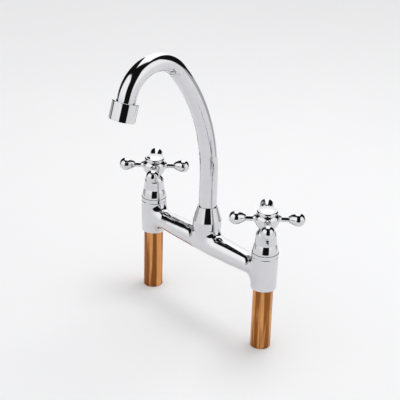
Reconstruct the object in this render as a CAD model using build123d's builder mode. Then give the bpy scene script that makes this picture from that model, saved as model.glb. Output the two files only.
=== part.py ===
"""Deck-mounted bridge mixer for a kitchen sink, with a swan-neck spout and cross handles.

Frame: millimetres. Z = 0 is the deck the two pillars stand on, the origin lies midway
between the pillars, X runs along the bridge from the hot to the cold side, and the spout
reaches towards -Y. Everything is drawn with the valves shut and the spout straight out.
"""

import os
from math import cos, hypot, radians, sin

from build123d import *

os.makedirs("parts", exist_ok=True)

# ---------------------------------------------------------------- fits
braze_gap = 0.05  # capillary gap of a brazed joint, on the radius
thread_gap = 0.05  # gap of a threaded joint, on the radius
running_gap = 0.08  # a turning shaft in its bore, on the radius
ring_gap = 0.04  # a seal ring to its bore and to its groove
end_play = 0.05  # a turning collar between its thrust faces
spline_gap = 0.05
drop_in_gap = 0.1  # a loose piece in its recess
pass_gap = 0.3  # a part that passes through another without touching it

# ---------------------------------------------------------------- copper tails
tail_r = 11.0
tail_wall = 1.0
tail_drop = 73.0  # length below the deck
tail_socket_depth = 10.0
tail_step = 0.4  # how far the end in the pillar is drawn down
tail_mouth_gap = 0.4  # braze-filled bevel round the tail, at the deck
tail_lip_round = 0.35

# ---------------------------------------------------------------- bridge casting
bridge_length = 180.0  # between the pillars' axes
pillar_height = 38.5
pillar_foot_wall = 3.0  # round the tail
pillar_flare = 0.6  # from foot to rim, on the radius
pillar_foot_round = 0.8
pillar_rim_bevel = 0.5
chamber_wall = 4.2

arm_axis_height = 18.0
arm_middle_r = 11.7
arm_end_r = 7.6  # at the pillars' axes
arm_root_fillet = 4.0

neck_height = 39.0  # the shoulder under the spout nut
neck_inset = 0.6  # the neck to the nut, on the radius
neck_band = 2.0  # short upright band under the shoulder
neck_taper = 4.5  # from that band down to the arms' axis, on the radius
neck_root_fillet = 8.0
spigot_wall = 3.0
spigot_length = 8.0
spigot_bevel = 0.5

waterway_r = 4.0
neck_waterway_r = 6.5
neck_waterway_drop = 5.5  # its floor below the arms' axis

# ---------------------------------------------------------------- ceramic headworks
seat_web = 3.5  # metal between the tail and the valve chamber
flange_overhang = 1.6  # past the thread
flange_thickness = 2.0
housing_washer = 0.8
hexagon_inset = 1.4  # flats to the thread, on the radius
hexagon_height = 4.7
housing_neck_wall = 1.4
cage_relief = 1.7  # the cage to the thread, on the radius
cage_wall = 1.2
seal_height = 3.0
seal_stand_out = 0.8  # how far the seal stands below the cage
seal_wall = 2.0
disc_thickness = 2.3
port_inner_r = 2.2
port_rim = 1.0  # ceramic left outside the ports
port_angle = 80.0
port_middles = (0.0, 180.0)  # of the fixed disc, in line with the bridge
drive_bar_width = 4.0
drive_bar_height = 4.0  # stands clear of the disc, where the water leaves
drive_tongue = 1.0  # how deep the bar sits in the disc's slot
window_angle = 100.0
window_margin = 0.4
thrust_collar = 2.0
turn_angle = 90.0  # from shut to fully open
stop_lug_angle = 58.0
stop_lug_reach = 2.3  # past the spindle
stop_lug_height = 2.0
stop_slack = 2.0  # degrees past each end of the turn

spindle_r = 4.5
spindle_ring_section = 1.5
spindle_ring_drop = 19.5  # lower ring below the bonnet's top
spindle_ring_pitch = 5.0
groove_side_gap = 0.2
clip_thickness = 0.8
clip_groove = 0.8
clip_stand_out = 1.3  # past the spindle
clip_mouth = 5.6
spline_teeth = 20
spline_step = 0.5  # the teeth's tips to the spindle, on the radius
spline_depth = 0.5

# ---------------------------------------------------------------- bonnets
bonnet_height = 31.0
bonnet_rim_height = 4.8
bonnet_rim_bevel = 0.4
bonnet_rim_step = 0.5
bonnet_cone_height = 14.9  # the cone's top
bonnet_cone_taper = 2.2  # from the rim's step to the cone's top, on the radius
bonnet_cone_bulge = 0.4  # how far the cone's side swells
bonnet_throat_taper = 0.7  # from the cone's top to the shoulder, on the radius
bonnet_shoulder_height = 23.0
bonnet_top_wall = 1.3
bonnet_top_bulge = 1.2
bonnet_wall = 1.6
bonnet_thread_length = 5.0

# ---------------------------------------------------------------- cross handles
handle_gap = 1.2  # between the clip and the hub
hub_foot_r = 8.8
hub_throat_r = 10.6
hub_belly_swell = 2.8  # past the throat
hub_belly_rise = 10.4  # from the hub's foot to the arms' axes
hub_height = 20.2
hub_bezel_height = 3.0
hub_bezel_step = 0.8  # past the throat
hub_bezel_round = 1.8
hub_throat_bevel = 0.8
cross_angle = 45.0  # the cross to the line of the bridge, when shut
cross_reach = 32.7  # ball centres from the spindle
ball_r = 7.6
ball_join_angle = 105.0  # where the arm's flank runs into the ball
pear_length = 10.4  # from the ball's centre back to the arm's neck
arm_neck_r = 3.1
arm_flare_r = 4.8
arm_flare_depth = 1.3  # where the flare starts, inside the hub's belly
arm_flare_length = 2.6  # from the belly out to the neck

socket_roof = 3.2  # metal between the spline socket and the cap's recess
cap_recess_wall = 1.6
cap_skirt = 2.6
cap_plate = 1.2
cap_rise = 1.7
cap_wall = 1.0
screw_r = 2.0
screw_hole_gap = 0.2
screw_length = 10.0
screw_hole_spare = 1.0
screw_head_overhang = 1.6
screw_head_height = 2.2
screw_slot_width = 1.0
screw_slot_depth = 1.0

# ---------------------------------------------------------------- swan-neck spout
tube_r = 10.0
tube_wall = 1.2
column_height = 99.0  # where the tube leaves the upright
sweep_r = 204.0
sweep_angle = 41.0
crown_r = 38.7
crown_angle = 123.0
tube_tip_length = 4.0  # straight length in sight above the sleeve

foot_step = 0.45  # the foot to the tube, on the radius
foot_bore_step = 1.3  # inside the tube's own bore
foot_depth = 16.5  # below the collar
foot_floor_gap = 0.5
foot_ring_section = 1.9
foot_ring_rise = 3.2  # lower ring above the foot's end
foot_ring_pitch = 6.0
collar_inset = 1.0  # the collar to the spigot, on the radius
collar_thickness = 3.0
tube_socket_depth = 2.5
bearing_thickness = 1.0

nut_wall = 2.5
nut_band = 8.5  # upright part at the nut's foot
nut_band_round = 8.0
nut_foot_round = 0.6
nut_top_wall = 1.0
nut_top_round = 0.4
nut_height = 25.0
nut_thread_relief = 0.5

# ---------------------------------------------------------------- outlet
aerator_step = 2.5  # the aerator's thread to the tube, on the radius
sleeve_wall = 1.5
sleeve_length = 18.5
sleeve_edge_round = 0.9
sleeve_foot_round = 0.3
sleeve_tube_depth = 5.5
sleeve_stop = 1.5
sleeve_stop_width = 0.7  # ledge under the tube's end
aerator_wall = 1.2
aerator_rim_overhang = 1.0
aerator_rim = 1.0
aerator_rim_round = 0.3
aerator_catch = 1.0  # ledge that holds the screen and the insert
aerator_lip = 0.8
sealing_washer = 1.5
insert_plate = 1.6
insert_wall = 1.0
jet_count = 10
jet_r = 0.9
jet_circle_r = 6.0
screen_thickness = 0.5
mesh_pitch = 2.5
mesh_hole_r = 1.0  # corners of a six-sided hole
mesh_rings = 3

# ---------------------------------------------------------------- radii that follow
tail_spigot_r = tail_r - tail_step
pillar_foot_r = tail_r + pillar_foot_wall
pillar_r = pillar_foot_r + pillar_flare

headwork_thread_r = pillar_r - chamber_wall
chamber_r = headwork_thread_r + thread_gap
flange_r = headwork_thread_r + flange_overhang
hexagon_r = headwork_thread_r - hexagon_inset
cage_r = headwork_thread_r - cage_relief
cage_bore_r = cage_r - cage_wall
stack_r = cage_bore_r - drop_in_gap
seal_bore_r = stack_r - seal_wall
port_outer_r = stack_r - port_rim
spindle_bore_r = spindle_r + running_gap
stop_lug_r = spindle_r + stop_lug_reach
housing_neck_r = spindle_bore_r + housing_neck_wall
clip_bore_r = spindle_r - clip_groove
clip_r = spindle_r + clip_stand_out
spline_tip_r = spindle_r - spline_step
spline_root_r = spline_tip_r - spline_depth

bonnet_rim_r = pillar_r
bonnet_foot_r = bonnet_rim_r - bonnet_rim_step
bonnet_cone_r = bonnet_foot_r - bonnet_cone_taper
bonnet_shoulder_r = bonnet_cone_r - bonnet_throat_taper
bonnet_bore_r = housing_neck_r + thread_gap
bonnet_top_r = bonnet_bore_r + bonnet_top_wall

hub_belly_r = hub_throat_r + hub_belly_swell
hub_bezel_r = hub_throat_r + hub_bezel_step
cap_recess_r = hub_throat_r - cap_recess_wall
cap_r = cap_recess_r - drop_in_gap
screw_head_r = screw_r + screw_head_overhang

foot_r = tube_r + foot_step
foot_bore_r = tube_r - tube_wall - foot_bore_step
neck_socket_r = foot_r + running_gap
spigot_r = neck_socket_r + spigot_wall
collar_r = spigot_r - collar_inset
nut_thread_r = spigot_r + thread_gap
nut_r = nut_thread_r + nut_wall
neck_r = nut_r - neck_inset
neck_root_r = neck_r - neck_taper
tube_way_r = tube_r + pass_gap
nut_top_r = tube_way_r + nut_top_wall

aerator_thread_r = tube_r + aerator_step
sleeve_r = aerator_thread_r + sleeve_wall
sleeve_stop_r = tube_r - sleeve_stop_width
shell_r = aerator_thread_r - thread_gap
aerator_rim_r = aerator_thread_r + aerator_rim_overhang
insert_r = shell_r - aerator_wall - drop_in_gap
aerator_lip_r = insert_r - aerator_catch

# ---------------------------------------------------------------- heights that follow
seat_height = tail_socket_depth + seat_web
cage_height = seat_height + seal_stand_out
fixed_disc_height = seat_height + seal_height
moving_disc_height = fixed_disc_height + disc_thickness
drive_height = moving_disc_height + disc_thickness
thrust_collar_height = drive_height + drive_bar_height
stop_floor_height = thrust_collar_height + thrust_collar
flange_height = pillar_height + housing_washer
hexagon_foot = flange_height + flange_thickness
bonnet_top = pillar_height + bonnet_height
spindle_ring_heights = [
    bonnet_top - spindle_ring_drop,
    bonnet_top - spindle_ring_drop + spindle_ring_pitch,
]
clip_height = bonnet_top + end_play
hub_foot_height = clip_height + clip_thickness + handle_gap
cross_height = hub_foot_height + hub_belly_rise
hub_top = hub_foot_height + hub_height
bezel_foot = hub_top - hub_bezel_height
recess_floor = hub_top - cap_plate - cap_skirt
spline_top = recess_floor - socket_roof

spigot_top = neck_height + spigot_length
collar_seat = spigot_top + bearing_thickness
collar_top = collar_seat + collar_thickness
upper_bearing_height = collar_top + end_play
nut_shoulder = upper_bearing_height + bearing_thickness
nut_top = neck_height + nut_height
foot_bottom = collar_seat - foot_depth
foot_ring_heights = [
    foot_bottom + foot_ring_rise,
    foot_bottom + foot_ring_rise + foot_ring_pitch,
]
tube_foot_height = collar_top - tube_socket_depth

sleeve_stop_depth = sleeve_tube_depth + sleeve_stop
washer_foot = sleeve_stop_depth + sealing_washer
aerator_foot = sleeve_length + aerator_rim
screen_foot = aerator_foot - aerator_lip

# ---------------------------------------------------------------- left and right
# The cold side mirrors the hot side: its lug points the other way and it turns the other way.
pillars = {"hot": -bridge_length / 2, "cold": bridge_length / 2}
lug_way = {"hot": 0, "cold": 180}
opening_turn = {"hot": turn_angle, "cold": -turn_angle}

# ---------------------------------------------------------------- spout's line
# In (reach, height): two arcs that follow the upright column without a kink.
end_angle = sweep_angle + crown_angle
sweep_centre = (sweep_r, column_height)


def on_arc(centre, radius, angle):
    """Point of a spout arc where the tube has turned by angle from upright."""
    turned = radians(angle)
    return (centre[0] - radius * cos(turned), centre[1] + radius * sin(turned))


def along(point, angle, distance):
    """Point a distance on from another, in the direction turned by angle from upright."""
    turned = radians(angle)
    return (point[0] + distance * sin(turned), point[1] + distance * cos(turned))


def in_space(point):
    """(reach, height) as a point in the spout's upright plane."""
    return (0, -point[0], point[1])


sweep_end = on_arc(sweep_centre, sweep_r, sweep_angle)
crown_centre = along(sweep_end, sweep_angle + 90, crown_r)
crown_end = on_arc(crown_centre, crown_r, end_angle)
sleeve_head = along(crown_end, end_angle, tube_tip_length)
tube_end = along(sleeve_head, end_angle, sleeve_tube_depth)
outlet_way = Vector(*in_space(along((0, 0), end_angle, 1)))
outlet_axis = Axis(in_space(sleeve_head), outlet_way)
outlet_section = Plane(
    origin=in_space(sleeve_head),
    x_dir=(1, 0, 0),
    z_dir=Vector(1, 0, 0).cross(outlet_way),
)


def across_outlet(depth):
    """Plane square to the outlet, a depth below the sleeve's head."""
    return Plane(
        origin=in_space(along(sleeve_head, end_angle, depth)), x_dir=(1, 0, 0), z_dir=outlet_way
    )


# ---------------------------------------------------------------- profiles
def section(x):
    """Upright plane along the bridge through a turned piece's axis."""
    return Plane(origin=(x, 0, 0), x_dir=(1, 0, 0), z_dir=(0, -1, 0))


def upright(x):
    """A pillar's axis."""
    return Axis((x, 0, 0), (0, 0, 1))


def bulged(start, end, bulge):
    """Arc between two points of a profile, swelling outwards by bulge."""
    length = hypot(end[0] - start[0], end[1] - start[1])
    middle = (
        (start[0] + end[0]) / 2 + bulge * (end[1] - start[1]) / length,
        (start[1] + end[1]) / 2 - bulge * (end[0] - start[0]) / length,
    )
    ThreePointArc(start, middle, end)


def ring_outline(inner_r, outer_r, low, high):
    """Section of a plain turned ring."""
    Polyline((inner_r, low), (outer_r, low), (outer_r, high), (inner_r, high), close=True)


def sector_outline(inner_r, outer_r, start, span):
    """Piece of an annulus, from a start angle on, in degrees from +X."""
    first = radians(start)
    middle = radians(start + span / 2)
    last = radians(start + span)
    inner_first = (inner_r * cos(first), inner_r * sin(first))
    inner_middle = (inner_r * cos(middle), inner_r * sin(middle))
    inner_last = (inner_r * cos(last), inner_r * sin(last))
    outer_first = (outer_r * cos(first), outer_r * sin(first))
    outer_middle = (outer_r * cos(middle), outer_r * sin(middle))
    outer_last = (outer_r * cos(last), outer_r * sin(last))
    Line(inner_first, outer_first)
    ThreePointArc(outer_first, outer_middle, outer_last)
    Line(outer_last, inner_last)
    ThreePointArc(inner_last, inner_middle, inner_first)


def spline_outline(gap):
    """Fine-toothed spline, larger than the spindle's by gap."""
    points = []
    for step in range(2 * spline_teeth):
        radius = (spline_tip_r if step % 2 == 0 else spline_root_r) + gap
        angle = radians(180 * step / spline_teeth)
        points.append((radius * cos(angle), radius * sin(angle)))
    Polyline(*points, close=True)


def seal_ring_radius(bore_r, ring_section):
    """Radius of the middle of a seal ring's section, seated against a bore."""
    return bore_r - ring_gap - ring_section / 2


def groove_outline(bore_r, shaft_r, ring_section, height):
    """Groove of a seal ring, cut into a shaft."""
    floor_r = bore_r - 2 * ring_gap - ring_section
    half_width = ring_section / 2 + groove_side_gap
    ring_outline(floor_r, shaft_r + ring_section, height - half_width, height + half_width)


# ================================================================ bridge casting
with BuildPart() as bridge_body:
    # two round pillars, a little narrower at the foot
    for pillar_x in pillars.values():
        with BuildSketch(section(pillar_x)):
            with BuildLine():
                Polyline(
                    (0, 0),
                    (pillar_foot_r, 0),
                    (pillar_r, pillar_height),
                    (0, pillar_height),
                    close=True,
                )
            make_face()
        revolve(axis=upright(pillar_x))
    rims = edges().filter_by(GeomType.CIRCLE).group_by(Axis.Z)
    fillet(rims[0], pillar_foot_round)
    chamfer(rims[-1], pillar_rim_bevel)
    # the round arms, thickest in the middle
    with BuildSketch(section(0)):
        with BuildLine():
            ThreePointArc(
                (-bridge_length / 2, arm_axis_height - arm_end_r),
                (0, arm_axis_height - arm_middle_r),
                (bridge_length / 2, arm_axis_height - arm_end_r),
            )
            Polyline(
                (bridge_length / 2, arm_axis_height - arm_end_r),
                (bridge_length / 2, arm_axis_height),
                (-bridge_length / 2, arm_axis_height),
                (-bridge_length / 2, arm_axis_height - arm_end_r),
            )
        make_face()
    revolve(axis=Axis((0, 0, arm_axis_height), (1, 0, 0)))
    fillet(edges().filter_by(GeomType.BSPLINE), arm_root_fillet)
    # the neck that carries the spout, run into the arms
    with BuildSketch(section(0)):
        with BuildLine():
            Polyline(
                (0, arm_axis_height),
                (neck_root_r, arm_axis_height),
                (neck_r, neck_height - neck_band),
                (neck_r, neck_height),
                (0, neck_height),
                close=True,
            )
        make_face()
    revolve(axis=upright(0))
    neck_root = edges().filter_by(GeomType.BSPLINE).filter_by_position(Axis.X, -neck_r, neck_r)
    fillet(neck_root, neck_root_fillet)
    with BuildSketch(Plane.XY.offset(neck_height)):
        Circle(spigot_r)
    extrude(amount=spigot_length)
    chamfer(edges().group_by(Axis.Z)[-1], spigot_bevel)
    # tail socket with its bevel, valve seat and valve chamber of each pillar
    mouth_r = tail_r + tail_mouth_gap
    socket_r = tail_spigot_r + braze_gap
    for pillar_x in pillars.values():
        with BuildSketch(section(pillar_x)):
            with BuildLine():
                Polyline(
                    (0, 0),
                    (mouth_r, 0),
                    (socket_r, mouth_r - socket_r),
                    (socket_r, tail_socket_depth),
                    (seal_bore_r, tail_socket_depth),
                    (seal_bore_r, seat_height),
                    (chamber_r, seat_height),
                    (chamber_r, pillar_height),
                    (0, pillar_height),
                    close=True,
                )
            make_face()
        revolve(axis=upright(pillar_x), mode=Mode.SUBTRACT)
    # the waterway between the chambers, and up to the spout's socket
    with BuildSketch(Plane.YZ.offset(-bridge_length / 2)):
        with Locations((0, arm_axis_height)):
            Circle(waterway_r)
    extrude(amount=bridge_length, mode=Mode.SUBTRACT)
    with BuildSketch(section(0)):
        with BuildLine():
            Polyline(
                (0, arm_axis_height - neck_waterway_drop),
                (neck_waterway_r, arm_axis_height - neck_waterway_drop),
                (neck_waterway_r, foot_bottom - foot_floor_gap),
                (neck_socket_r, foot_bottom - foot_floor_gap),
                (neck_socket_r, spigot_top),
                (0, spigot_top),
                close=True,
            )
        make_face()
    revolve(axis=upright(0), mode=Mode.SUBTRACT)

bridge_body.part.label = "bridge_body"
export_step(bridge_body.part, "parts/bridge_body.step")

# ================================================================ what each pillar carries
for side, pillar_x in pillars.items():
    # copper tail, brazed into the pillar's foot
    with BuildPart() as tail:
        with BuildSketch(section(pillar_x)):
            with BuildLine():
                Polyline(
                    (tail_r - tail_wall, -tail_drop),
                    (tail_r, -tail_drop),
                    (tail_r, 0),
                    (tail_spigot_r, tail_step),
                    (tail_spigot_r, tail_socket_depth),
                    (tail_spigot_r - tail_wall, tail_socket_depth),
                    (tail_spigot_r - tail_wall, tail_step),
                    (tail_r - tail_wall, 0),
                    close=True,
                )
            make_face()
        revolve(axis=upright(pillar_x))
        fillet(edges().group_by(Axis.Z)[0], tail_lip_round)
    tail.part.label = f"{side}_tail"
    export_step(tail.part, f"parts/{side}_tail.step")

    # rubber seal that stands on the seat and carries the fixed disc
    with BuildPart() as valve_seal:
        with BuildSketch(section(pillar_x)):
            with BuildLine():
                ring_outline(seal_bore_r, stack_r, seat_height, fixed_disc_height)
            make_face()
        revolve(axis=upright(pillar_x))
    valve_seal.part.label = f"{side}_valve_seal"
    export_step(valve_seal.part, f"parts/{side}_valve_seal.step")

    # ceramic disc that stays, its two ports in line with the bridge
    with BuildPart() as fixed_disc:
        with BuildSketch(Plane((pillar_x, 0, fixed_disc_height))):
            Circle(stack_r)
            for port_middle in port_middles:
                with BuildLine():
                    sector_outline(
                        port_inner_r, port_outer_r, port_middle - port_angle / 2, port_angle
                    )
                make_face(mode=Mode.SUBTRACT)
        extrude(amount=disc_thickness)
    fixed_disc.part.label = f"{side}_fixed_disc"
    export_step(fixed_disc.part, f"parts/{side}_fixed_disc.step")

    # headwork housing: cage, thread, flange, hexagon and neck
    with BuildPart() as valve_housing:
        with BuildSketch(section(pillar_x)):
            with BuildLine():
                Polyline(
                    (cage_bore_r, cage_height),
                    (cage_r, cage_height),
                    (cage_r, stop_floor_height),
                    (headwork_thread_r, stop_floor_height),
                    (headwork_thread_r, flange_height),
                    (flange_r, flange_height),
                    (flange_r, hexagon_foot),
                    (housing_neck_r, hexagon_foot),
                    (housing_neck_r, bonnet_top),
                    (spindle_bore_r, bonnet_top),
                    (spindle_bore_r, stop_floor_height + end_play),
                    (cage_bore_r, stop_floor_height + end_play),
                    close=True,
                )
            make_face()
        revolve(axis=upright(pillar_x))
        with BuildSketch(Plane((pillar_x, 0, hexagon_foot))):
            RegularPolygon(hexagon_r, 6, major_radius=False)
            Circle(spindle_bore_r, mode=Mode.SUBTRACT)
        extrude(amount=hexagon_height)
        # windows the water leaves by, between two posts
        with BuildSketch(Plane((pillar_x, 0, drive_height + window_margin))):
            for window_middle in port_middles:
                with BuildLine():
                    sector_outline(
                        cage_bore_r - drop_in_gap,
                        cage_r + drop_in_gap,
                        window_middle - window_angle / 2,
                        window_angle,
                    )
                make_face()
        extrude(amount=drive_bar_height - 2 * window_margin, mode=Mode.SUBTRACT)
        # recess whose ends stop the spindle's lug after a quarter turn
        with BuildSketch(Plane((pillar_x, 0, stop_floor_height))):
            with BuildLine():
                sector_outline(
                    spindle_r,
                    stop_lug_r + drop_in_gap,
                    lug_way[side]
                    + min(0, opening_turn[side])
                    - stop_lug_angle / 2
                    - stop_slack,
                    turn_angle + stop_lug_angle + 2 * stop_slack,
                )
            make_face()
        extrude(amount=stop_lug_height + 2 * end_play, mode=Mode.SUBTRACT)
    valve_housing.part.label = f"{side}_valve_housing"
    export_step(valve_housing.part, f"parts/{side}_valve_housing.step")

    # fibre washer between the housing's flange and the pillar
    with BuildPart() as washer:
        with BuildSketch(section(pillar_x)):
            with BuildLine():
                ring_outline(chamber_r, flange_r, pillar_height, flange_height)
            make_face()
        revolve(axis=upright(pillar_x))
    washer.part.label = f"{side}_housing_washer"
    export_step(washer.part, f"parts/{side}_housing_washer.step")

    # bell-shaped bonnet, screwed down over the headwork
    with BuildPart() as bonnet:
        with BuildSketch(section(pillar_x)):
            shoulder = (bonnet_shoulder_r, pillar_height + bonnet_shoulder_height)
            cone_top = (bonnet_cone_r, pillar_height + bonnet_cone_height)
            side_foot = (bonnet_foot_r, pillar_height + bonnet_rim_height)
            with BuildLine():
                Polyline(
                    (0, bonnet_top),
                    (0, pillar_height),
                    (bonnet_rim_r - bonnet_rim_bevel, pillar_height),
                    (bonnet_rim_r, pillar_height + bonnet_rim_bevel),
                    (bonnet_rim_r, pillar_height + bonnet_rim_height - bonnet_rim_bevel),
                    side_foot,
                )
                bulged(side_foot, cone_top, bonnet_cone_bulge)
                Line(cone_top, shoulder)
                bulged(shoulder, (bonnet_top_r, bonnet_top), bonnet_top_bulge)
                Line((bonnet_top_r, bonnet_top), (0, bonnet_top))
            make_face()
            with BuildLine():
                Polyline(
                    (0, pillar_height),
                    (bonnet_rim_r - bonnet_wall, pillar_height),
                    (bonnet_foot_r - bonnet_wall, pillar_height + bonnet_rim_height),
                    (bonnet_cone_r - bonnet_wall, pillar_height + bonnet_cone_height),
                    (bonnet_shoulder_r - bonnet_wall, pillar_height + bonnet_shoulder_height),
                    (bonnet_bore_r, bonnet_top - bonnet_thread_length),
                    (bonnet_bore_r, bonnet_top),
                    (0, bonnet_top),
                    close=True,
                )
            make_face(mode=Mode.SUBTRACT)
        revolve(axis=upright(pillar_x))
    bonnet.part.label = f"{side}_bonnet"
    export_step(bonnet.part, f"parts/{side}_bonnet.step")

# ================================================================ what each handle turns
for side, pillar_x in pillars.items():
    # ceramic disc that turns: shut, its ports lie across the fixed disc's
    with BuildPart() as moving_disc:
        with BuildSketch(Plane((pillar_x, 0, moving_disc_height))):
            Circle(stack_r)
            for port_middle in port_middles:
                first_edge = port_middle + turn_angle - port_angle / 2
                with BuildLine():
                    sector_outline(port_inner_r, port_outer_r, first_edge, port_angle)
                make_face(mode=Mode.SUBTRACT)
        extrude(amount=disc_thickness)
        with BuildSketch(Plane((pillar_x, 0, drive_height))):
            Rectangle(2 * cage_r, drive_bar_width + 2 * drop_in_gap)
        extrude(amount=-drive_tongue, mode=Mode.SUBTRACT)
    moving_disc.part.label = f"{side}_moving_disc"
    export_step(moving_disc.part, f"parts/{side}_moving_disc.step")

    # spindle: drive bar, thrust collar with its stop lug, stem, clip groove and spline
    with BuildPart() as spindle:
        with BuildSketch(Plane((pillar_x, 0, drive_height - drive_tongue))):
            Circle(stack_r)
            for cut_way in (-1, 1):
                with Locations((0, cut_way * (drive_bar_width + cage_r) / 2)):
                    Rectangle(2 * cage_r, cage_r, mode=Mode.SUBTRACT)
        extrude(amount=drive_tongue + drive_bar_height)
        with BuildSketch(section(pillar_x)):
            with BuildLine():
                Polyline(
                    (0, thrust_collar_height),
                    (stack_r, thrust_collar_height),
                    (stack_r, stop_floor_height),
                    (spindle_r, stop_floor_height),
                    (spindle_r, clip_height),
                    (clip_bore_r, clip_height),
                    (clip_bore_r, clip_height + clip_thickness),
                    (spindle_r, clip_height + clip_thickness),
                    (spindle_r, hub_foot_height),
                    (0, hub_foot_height),
                    close=True,
                )
            make_face()
            for ring_height in spindle_ring_heights:
                with BuildLine():
                    groove_outline(spindle_bore_r, spindle_r, spindle_ring_section, ring_height)
                make_face(mode=Mode.SUBTRACT)
        revolve(axis=upright(pillar_x))
        with BuildSketch(Plane((pillar_x, 0, stop_floor_height))):
            with BuildLine():
                sector_outline(
                    spindle_r - drop_in_gap,
                    stop_lug_r,
                    lug_way[side] - stop_lug_angle / 2,
                    stop_lug_angle,
                )
            make_face()
        extrude(amount=stop_lug_height)
        with BuildSketch(Plane((pillar_x, 0, hub_foot_height))):
            with BuildLine():
                spline_outline(0)
            make_face()
        extrude(amount=spline_top - hub_foot_height)
        with BuildSketch(Plane((pillar_x, 0, spline_top))):
            Circle(screw_r + thread_gap)
        extrude(amount=-(screw_length - socket_roof + screw_hole_spare), mode=Mode.SUBTRACT)
    spindle.part.label = f"{side}_spindle"
    export_step(spindle.part, f"parts/{side}_spindle.step")

    # two rubber rings in the stem's grooves
    with BuildPart() as spindle_rings:
        with BuildSketch(section(pillar_x)):
            ring_r = seal_ring_radius(spindle_bore_r, spindle_ring_section)
            for ring_height in spindle_ring_heights:
                with Locations((ring_r, ring_height)):
                    Circle(spindle_ring_section / 2)
        revolve(axis=upright(pillar_x))
    spindle_rings.part.label = f"{side}_spindle_rings"
    export_step(spindle_rings.part, f"parts/{side}_spindle_rings.step")

    # spring clip that keeps the spindle from being pushed down
    with BuildPart() as spindle_clip:
        with BuildSketch(Plane((pillar_x, 0, clip_height))):
            Circle(clip_r)
            Circle(clip_bore_r, mode=Mode.SUBTRACT)
            with Locations((0, -clip_r)):
                Rectangle(clip_mouth, 2 * clip_r, mode=Mode.SUBTRACT)
        extrude(amount=clip_thickness)
    spindle_clip.part.label = f"{side}_spindle_clip"
    export_step(spindle_clip.part, f"parts/{side}_spindle_clip.step")

    # cross handle: a hub and four pear-shaped arms in one casting
    with BuildPart() as cross_handle:
        with BuildSketch(section(pillar_x)):
            belly = (hub_belly_r, cross_height)
            foot = (hub_foot_r, hub_foot_height)
            throat = (hub_throat_r, bezel_foot - hub_throat_bevel)
            with BuildLine():
                Line((0, hub_foot_height), foot)
                TangentArc(belly, foot, tangent=(0, -1))
                TangentArc(belly, throat, tangent=(0, 1))
                Polyline(
                    throat,
                    (hub_bezel_r, bezel_foot),
                    (hub_bezel_r, hub_top),
                    (0, hub_top),
                    (0, hub_foot_height),
                )
            make_face()
        revolve(axis=upright(pillar_x))
        fillet(edges().group_by(Axis.Z)[-1], hub_bezel_round)
        join = radians(ball_join_angle)
        ball_join = (cross_reach + ball_r * cos(join), ball_r * sin(join))
        neck_start = (hub_belly_r + arm_flare_length, arm_neck_r)
        neck_end = (cross_reach - pear_length, arm_neck_r)
        flare = (hub_belly_r - arm_flare_depth, arm_flare_r)
        for quarter in range(4):
            arm_angle = cross_angle + 90 * quarter
            arm_way = Vector(1, 0, 0).rotate(Axis.Z, arm_angle)
            arm_plane = Plane(
                origin=(pillar_x, 0, cross_height),
                x_dir=arm_way,
                z_dir=arm_way.cross(Vector(0, 0, 1)),
            )
            with BuildSketch(arm_plane):
                with BuildLine():
                    Polyline((0, 0), (0, arm_flare_r), flare)
                    TangentArc(neck_start, flare, tangent=(-1, 0))
                    Line(neck_start, neck_end)
                    TangentArc(ball_join, neck_end, tangent=(-sin(join), cos(join)))
                    ThreePointArc(
                        ball_join,
                        (cross_reach + ball_r * cos(join / 2), ball_r * sin(join / 2)),
                        (cross_reach + ball_r, 0),
                    )
                    Line((cross_reach + ball_r, 0), (0, 0))
                make_face()
            revolve(axis=Axis((pillar_x, 0, cross_height), arm_way))
        # recess for the cap, hole for the screw, splined socket for the spindle
        with BuildSketch(Plane((pillar_x, 0, recess_floor))):
            Circle(cap_recess_r)
        extrude(amount=cap_skirt + cap_plate, mode=Mode.SUBTRACT)
        with BuildSketch(Plane((pillar_x, 0, spline_top))):
            Circle(screw_r + screw_hole_gap)
        extrude(amount=socket_roof, mode=Mode.SUBTRACT)
        with BuildSketch(Plane((pillar_x, 0, hub_foot_height))):
            with BuildLine():
                spline_outline(spline_gap)
            make_face()
        extrude(amount=spline_top - hub_foot_height, mode=Mode.SUBTRACT)
    cross_handle.part.label = f"{side}_cross_handle"
    export_step(cross_handle.part, f"parts/{side}_cross_handle.step")

    # screw that holds the handle down on the spindle
    with BuildPart() as handle_screw:
        with BuildSketch(section(pillar_x)):
            with BuildLine():
                Polyline(
                    (0, recess_floor - screw_length),
                    (screw_r, recess_floor - screw_length),
                    (screw_r, recess_floor),
                    (screw_head_r, recess_floor),
                    (screw_head_r, recess_floor + screw_head_height),
                    (0, recess_floor + screw_head_height),
                    close=True,
                )
            make_face()
        revolve(axis=upright(pillar_x))
        with BuildSketch(Plane((pillar_x, 0, recess_floor + screw_head_height))):
            Rectangle(2 * cap_recess_r, screw_slot_width)
        extrude(amount=-screw_slot_depth, mode=Mode.SUBTRACT)
    handle_screw.part.label = f"{side}_handle_screw"
    export_step(handle_screw.part, f"parts/{side}_handle_screw.step")

    # low domed cap over the screw
    with BuildPart() as cap:
        with BuildSketch(section(pillar_x)):
            with BuildLine():
                Polyline(
                    (0, hub_top - cap_plate),
                    (cap_r - cap_wall, hub_top - cap_plate),
                    (cap_r - cap_wall, recess_floor),
                    (cap_r, recess_floor),
                    (cap_r, hub_top),
                )
                TangentArc((0, hub_top + cap_rise), (cap_r, hub_top), tangent=(1, 0))
                Line((0, hub_top + cap_rise), (0, hub_top - cap_plate))
            make_face()
        revolve(axis=upright(pillar_x))
    cap.part.label = f"{side}_cap"
    export_step(cap.part, f"parts/{side}_cap.step")

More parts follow.
